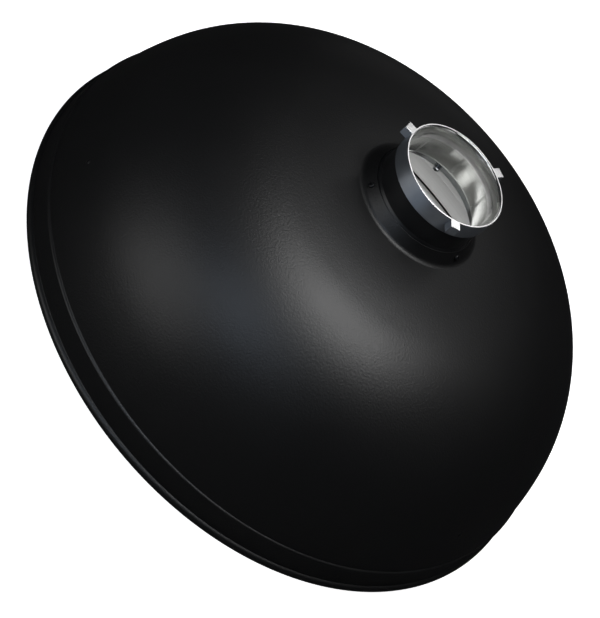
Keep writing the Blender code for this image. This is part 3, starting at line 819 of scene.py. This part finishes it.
def make_seat_screws():
    """Button-head socket screws with washers and nuts; returns their black and zinc materials."""
    foot_face = -(SHEET + GAP + NECK_WALL)
    washer_top = foot_face - 1.5 * GAP
    nut_top = washer_top - WASHER_HEIGHT - GAP
    nut_bottom = nut_top - NUT_HEIGHT
    tip = nut_bottom - SCREW_PAST_NUT
    crown = GAP + SCREW_HEAD_HEIGHT
    points = [(0.0, crown)]
    dome_steps = 8
    for step in range(dome_steps + 1):
        angle = math.pi / 2.0 * step / dome_steps
        radius = SCREW_HEAD_RADIUS * (0.5 + 0.5 * math.sin(angle))
        dome_rise = (SCREW_HEAD_HEIGHT - SCREW_HEAD_SIDE) * math.cos(angle)
        points.append((radius, GAP + SCREW_HEAD_SIDE + dome_rise))
    points += [(SCREW_HEAD_RADIUS, GAP), (SCREW_SHANK, GAP)]
    points += threaded(SCREW_SHANK, foot_face, tip + SCREW_TIP)
    points += [(SCREW_SHANK - SCREW_TIP, tip), (0.0, tip)]
    oxide = black_oxide()
    blank = lathe("seat_screw", tagged(points, 0), SMALL_STEPS, [oxide])
    socket = rod_mesh("socket", SCREW_SOCKET_RADIUS, crown - SCREW_SOCKET_DEPTH, crown + MM, 6)
    screw = combined("seat_screw", blank, [(socket, "DIFFERENCE", UNMOVED)], [oxide])
    plate = zinc()
    ring = [
        (SCREW_HOLE, washer_top),
        (WASHER_RADIUS, washer_top),
        (WASHER_RADIUS, washer_top - WASHER_HEIGHT),
        (SCREW_HOLE, washer_top - WASHER_HEIGHT),
    ]
    washer = lathe("seat_washer", soften(tagged(ring, 0), 0.1 * MM, 2), SMALL_STEPS, [plate])
    nut = nut_mesh(nut_bottom, nut_top, plate)
    for number in TRIO:
        place = seat_frame(number)
        stand_in(screw, f"seat_screw_{number}", place)
        stand_in(washer, f"seat_washer_{number}", place)
        stand_in(nut, f"seat_nut_{number}", place)
    return oxide, plate


def nut_mesh(bottom, top, plate):
    """Hexagon nut with chamfered corners and a plain bore."""
    blank = rod_mesh("seat_nut", NUT_RADIUS, bottom, top, 6, [plate])
    chamfer = [
        (0.0, top),
        (NUT_RADIUS * 0.86, top),
        (NUT_RADIUS * 1.01, top - NUT_CHAMFER),
        (NUT_RADIUS * 1.01, bottom + NUT_CHAMFER),
        (NUT_RADIUS * 0.86, bottom),
        (0.0, bottom),
    ]
    spindle = lathe("spindle", tagged(chamfer, 0), SMALL_STEPS, [plate])
    bore = rod_mesh("bore", SCREW_HOLE, bottom - MM, top + MM, SMALL_STEPS)
    tools = [(spindle, "INTERSECT", UNMOVED), (bore, "DIFFERENCE", UNMOVED)]
    return combined("seat_nut", blank, tools, [plate])


def make_posts(plate, aluminium):
    """Weld studs, deflector posts and end nuts."""
    flange_bottom = STUD_TOP - STUD_FLANGE_HEIGHT
    pin_end = flange_bottom - STUD_PIN_LENGTH
    points = [(0.0, STUD_TOP), (STUD_FLANGE_RADIUS, STUD_TOP), (STUD_FLANGE_RADIUS, flange_bottom)]
    points += threaded(STUD_PIN_RADIUS, flange_bottom, pin_end)
    points += [(0.0, pin_end)]
    stud = lathe("weld_stud", tagged(points, 0), SMALL_STEPS, [plate])
    top = flange_bottom - GAP
    rod_end = top - POST_LENGTH
    thread_end = rod_end - POST_THREAD_LENGTH
    bore = STUD_PIN_RADIUS + GAP
    base_end = top - POST_BASE_LENGTH
    outline = [
        (0.0, top - STUD_PIN_LENGTH - MM),
        (bore, top - STUD_PIN_LENGTH - MM),
        (bore, top),
        (POST_BASE_RADIUS, top),
        (POST_BASE_RADIUS, base_end),
        (POST_RADIUS, base_end - POST_SHOULDER),
        (POST_RADIUS, rod_end),
    ]
    outline += threaded(POST_THREAD_RADIUS, rod_end, thread_end)
    outline += [(0.0, thread_end)]
    post = lathe("post", soften(tagged(outline, 0), 0.2 * MM, 2, 44.0), SMALL_STEPS, [aluminium])
    nut_top = rod_end - GAP
    nut_bore = POST_THREAD_RADIUS + GAP
    nut_bottom = nut_top - END_NUT_LENGTH
    bore_end = thread_end - END_NUT_ROOM
    outline = [
        (0.0, bore_end),
        (nut_bore, bore_end),
        (nut_bore, nut_top),
        (END_NUT_RADIUS, nut_top),
        (END_NUT_RADIUS, nut_bottom + END_NUT_NOSE),
        (END_NUT_RADIUS * 0.75, nut_bottom + END_NUT_TIP),
        (0.0, nut_bottom),
    ]
    blank = lathe("end_nut", soften(tagged(outline, 0), 0.4 * MM, 4, 15.0), SMALL_STEPS, [aluminium])
    nut = knurled("end_nut", blank, END_NUT_RADIUS, nut_bottom + 2.6 * MM, nut_top - 0.8 * MM, 20)
    for number in TRIO:
        place = post_frame(number)
        stand_in(stud, f"weld_stud_{number}", place)
        stand_in(post, f"deflector_post_{number}", place)
        stand_in(nut, f"post_end_nut_{number}", place)


def knurled(name, blank, radius, bottom, top, flutes):
    """Cut straight flutes into a round head."""
    tools = []
    flute = rod_mesh("flute", FLUTE_RADIUS, bottom, top, 8)
    for number in range(flutes):
        turn = Matrix.Rotation(2.0 * math.pi * number / flutes, 4, "Z")
        tools.append((flute, "DIFFERENCE", turn @ Matrix.Translation((radius + FLUTE_OUTSIDE, 0.0, 0.0))))
    return combined(name, blank, tools, blank.materials)


def make_deflector(oxide, aluminium):
    """Domed plate with a clamping collar and thumb screw on each post."""
    dome_radius, dome_slope = PLATE_DOME
    slope = math.radians(dome_slope)
    flat_start = (dome_radius + PLATE_DOME_FILLET) * math.sin(slope)
    flat_height = PLATE_APEX - (dome_radius + PLATE_DOME_FILLET) * (1.0 - math.cos(slope))
    lip_slope = math.radians(PLATE_LIP_SLOPE)
    lip = PLATE_LIP_BEND * math.sin(lip_slope) + PLATE_LIP_LENGTH * math.cos(lip_slope)
    section = Section(0.0, PLATE_APEX, 0.0)
    section.bend(dome_radius, dome_slope, 20)
    section.bend(PLATE_DOME_FILLET, 0.0, 10)
    section.line(PLATE_RADIUS - lip - flat_start)
    section.bend(PLATE_LIP_BEND, PLATE_LIP_SLOPE, 10)
    section.line(PLATE_LIP_LENGTH)
    outline = tagged(section.outer() + section.inner(PLATE_SHEET)[::-1], 0)
    enamel = white_enamel()
    blank = lathe("plate", soften(outline, 0.3 * MM, 3, 40.0), PLATE_STEPS, [enamel])
    tools = []
    for number in TRIO:
        low = flat_height - HOLE_REACH
        high = flat_height + HOLE_REACH
        hole = rod_mesh("hole", COLLAR_SPIGOT_RADIUS + GAP, low, high, SMALL_STEPS)
        tools.append((hole, "DIFFERENCE", post_frame(number)))
    stand_in(combined("plate", blank, tools, [enamel]), "deflector_plate")
    bottom = flat_height + GAP
    bore = POST_RADIUS + GAP
    points = [
        (bore, bottom + COLLAR_HEIGHT),
        (COLLAR_RADIUS, bottom + COLLAR_HEIGHT),
        (COLLAR_RADIUS, bottom),
        (COLLAR_SPIGOT_RADIUS, bottom),
        (COLLAR_SPIGOT_RADIUS, bottom - COLLAR_SPIGOT_LENGTH),
        (bore, bottom - COLLAR_SPIGOT_LENGTH),
    ]
    blank = lathe("collar", soften(tagged(points, 0), 0.4 * MM, 3), SMALL_STEPS, [aluminium])
    across = Matrix.Translation((0.0, 0.0, bottom + THUMB_HEIGHT)) @ Matrix.Rotation(math.pi / 2.0, 4, "Y")
    hole = rod_mesh("hole", THUMB_SHANK + GAP, 0.0, THUMB_HOLE_END, SMALL_STEPS)
    collar = combined("collar", blank, [(hole, "DIFFERENCE", across)], [aluminium])
    head_end = THUMB_HEAD_START + THUMB_HEAD_LENGTH
    tip = POST_RADIUS + 2.0 * GAP
    points = [(0.0, tip), (THUMB_SHANK, tip), (THUMB_SHANK, THUMB_HEAD_START)]
    points += [(THUMB_HEAD_RADIUS, THUMB_HEAD_START), (THUMB_HEAD_RADIUS, head_end), (0.0, head_end)]
    blank = lathe("thumb", soften(tagged(points, 0), 0.4 * MM, 3), SMALL_STEPS, [oxide])
    thumb = knurled("thumb", blank, THUMB_HEAD_RADIUS, THUMB_HEAD_START + 0.5 * MM, head_end - 0.5 * MM, 16)
    for number in TRIO:
        place = post_frame(number)
        stand_in(collar, f"deflector_collar_{number}", place)
        stand_in(thumb, f"thumb_screw_{number}", place @ across)


def clip_line():
    """Side line of a grid clip, its bends rounded: distance down the wall and rise from it."""
    corners = [Vector(point) for point in CLIP_SIDE]
    line = [corners[0]]
    for before, corner, after in zip(corners, corners[1:], corners[2:]):
        start = corner + (before - corner).normalized() * CLIP_BEND
        end = corner + (after - corner).normalized() * CLIP_BEND
        for step in range(CLIP_BEND_STEPS + 1):
            share = step / CLIP_BEND_STEPS
            line.append(start.lerp(corner, share).lerp(corner.lerp(end, share), share))
    line.append(corners[-1])
    return line


def make_clips(oxide):
    """Leaf springs inside the wall, each on its rivet."""
    half = CLIP_WIDTH / 2.0
    foot = -(SHEET + CLIP_GAP)
    shape = bmesh.new()
    wall_side = [shape.verts.new((p.x * MM, -half, foot - p.y * MM)) for p in clip_line()]
    room_side = [shape.verts.new((v.co.x, -half, v.co.z - CLIP_SHEET)) for v in reversed(wall_side)]
    side = shape.faces.new(wall_side + room_side)
    swept = bmesh.ops.extrude_face_region(shape, geom=[side])
    moved = [item for item in swept["geom"] if isinstance(item, bmesh.types.BMVert)]
    bmesh.ops.translate(shape, verts=moved, vec=Vector((0.0, CLIP_WIDTH, 0.0)))
    bmesh.ops.recalc_face_normals(shape, faces=shape.faces)
    ends = [edge for edge in shape.edges if abs(edge.verts[0].co.x - edge.verts[1].co.x) < 1e-7]
    corners = [edge for edge in ends if abs(edge.verts[0].co.z - edge.verts[1].co.z) > 0.5 * MM]
    bmesh.ops.bevel(shape, geom=corners, offset=CLIP_CORNER, segments=4, profile=0.5, affect="EDGES")
    steel = spring_steel()
    blank = to_mesh(shape, "clip", [steel])
    hole = rod_mesh("hole", RIVET_HOLE, foot - HOLE_REACH, foot + HOLE_REACH, SMALL_STEPS)
    clip = combined("clip", blank, [(hole, "DIFFERENCE", UNMOVED)], [steel])
    tail_top = foot - CLIP_SHEET - CLIP_GAP
    head = GAP + RIVET_HEAD_HEIGHT
    tail_end = tail_top - RIVET_TAIL_HEIGHT
    points = [
        (0.0, head),
        (RIVET_HEAD_RADIUS * 0.45, head - 0.06 * MM),
        (RIVET_HEAD_RADIUS * 0.8, head - 0.25 * MM),
        (RIVET_HEAD_RADIUS, GAP + 0.15 * MM),
        (RIVET_HEAD_RADIUS, GAP),
        (RIVET_SHANK, GAP),
        (RIVET_SHANK, tail_top),
        (RIVET_TAIL_RADIUS, tail_top),
        (RIVET_TAIL_RADIUS * 0.8, tail_end),
        (0.0, tail_end),
    ]
    rivet = lathe("rivet", soften(tagged(points, 0), 0.15 * MM, 2), SMALL_STEPS, [oxide])
    for number in TRIO:
        place = wall_frame(number)
        stand_in(clip, f"grid_clip_{number}", place)
        stand_in(rivet, f"clip_rivet_{number}", place)


# -------------------------------------------------------------------- scene


def aim(name, data, target, direction, distance):
    """Link a light that shines on the target from a direction."""
    light = bpy.data.objects.new(name, data)
    bpy.context.scene.collection.objects.link(light)
    away = Vector(direction).normalized()
    light.location = Vector(target) + away * distance
    light.rotation_euler = (-away).to_track_quat("-Z", "Y").to_euler()


def add_softbox(name, direction, distance, size, power, colour):
    """Square area light that faces the dish from a direction."""
    data = bpy.data.lights.new(name, "AREA")
    data.shape = "SQUARE"
    data.size = size
    data.energy = power
    data.color = colour
    aim(name, data, LIGHT_CENTRE, direction, distance)


def add_snoot():
    """Narrow spot aimed at the mount's mouth, whose pool of light stays inside the ring."""
    data = bpy.data.lights.new("right_snoot", "SPOT")
    data.spot_size = 2.0 * math.atan(SNOOT_WIDTH / 2.0 / SNOOT_DISTANCE)
    data.spot_blend = 0.15
    data.shadow_soft_size = 0.01
    data.energy = SNOOT_POWER
    aim("right_snoot", data, (0.0, 0.0, FACE), SNOOT_DIRECTION, SNOOT_DISTANCE)


def lay_paper(name, inner, outer, bearings, drop, paint):
    """Sheet of stage paper just below the dish."""
    paper = add_object(stage_ring(name, inner, outer, bearings, paint), name)
    paper.location.z = -drop
    return paper


def add_stage():
    """Pale floor that stays white; inside the rim a dark sheet of painted shade, with glowing strips of
    painted light along most of the rim.
    """
    around = (0.0, 360.0)
    floor = lay_paper("floor", 0.0, FLOOR_RADIUS, around, FLOOR_DROP, floor_paint("floor_paper", 1.0))
    floor.visible_glossy = False
    # Painted shade: a dark, barely glowing sheet stands in for the shade under the dish.
    paint = floor_paint("shaded_paper", 0.02, 0.12)
    lay_paper("shaded_floor", 0.0, PAINTED_SHADE_RADIUS, around, PAPER_DROP, paint)
    # Painted light: each strip's glow stands in for light falling on the floor along the rim.
    for side, bearings, glow in PAINTED_LIGHT_STRIPS:
        paint = floor_paint(f"{side}_paper", glow)
        lay_paper(f"{side}_painted_light_strip", PAINTED_SHADE_RADIUS, PAINTED_LIGHT_RADIUS, bearings, PAPER_DROP, paint)


def stage_ring(name, inner, outer, bearings, paint):
    """Flat sheet between two radii and two bearings."""
    first = math.radians(bearings[0])
    last = math.radians(bearings[1])
    shape = bmesh.new()
    before = None
    for step in range(STAGE_STEPS + 1):
        angle = first + (last - first) * step / STAGE_STEPS
        here = []
        for radius in (inner, outer):
            here.append(shape.verts.new((radius * math.cos(angle), radius * math.sin(angle), 0.0)))
        if before is not None:
            shape.faces.new((before[0], before[1], here[1], here[0]))
        before = here
    bmesh.ops.remove_doubles(shape, verts=shape.verts, dist=1e-6)
    return to_mesh(shape, name, [paint])


def floor_paint(name, glow, tone=0.8):
    """Paper with a soft glow of its own; on the strips inside the rim the glow is painted light."""
    made, _, shader = principled(name, (tone, tone, tone), 0.9)
    shader.inputs["Emission Color"].default_value = (*WHITE, 1.0)
    shader.inputs["Emission Strength"].default_value = glow
    return made


def add_camera():
    """Camera above and in front of the dish, rolled so that the mount points up and to the right."""
    data = bpy.data.cameras.new("camera")
    data.lens = CAMERA_LENS
    data.sensor_width = 36.0
    data.clip_end = 50.0
    camera = bpy.data.objects.new("camera", data)
    bpy.context.scene.collection.objects.link(camera)
    ahead = Vector(CAMERA_TARGET) - Vector(CAMERA_PLACE)
    level = ahead.to_track_quat("-Z", "Y").to_matrix()
    camera.location = CAMERA_PLACE
    camera.rotation_euler = (level @ Matrix.Rotation(math.radians(CAMERA_ROLL), 3, "Z")).to_euler()
    bpy.context.scene.camera = camera


def add_light():
    """Softboxes round the dish and a snoot into its mount, in a dim room, with plain display colours."""
    for softbox in SOFTBOXES:
        add_softbox(*softbox)
    add_snoot()
    bpy.context.scene.view_settings.view_transform = "Standard"
    world = bpy.data.worlds.new("room")
    world.use_nodes = True
    world.node_tree.nodes["Background"].inputs["Color"].default_value = (*ROOM_COLOUR, 1.0)
    bpy.context.scene.world = world


make_dish()
make_bayonet_ring()
make_neck()
oxide, plate = make_seat_screws()
aluminium = satin_aluminium()
make_posts(plate, aluminium)
make_deflector(oxide, aluminium)
make_clips(oxide)
add_stage()
add_camera()
add_light()
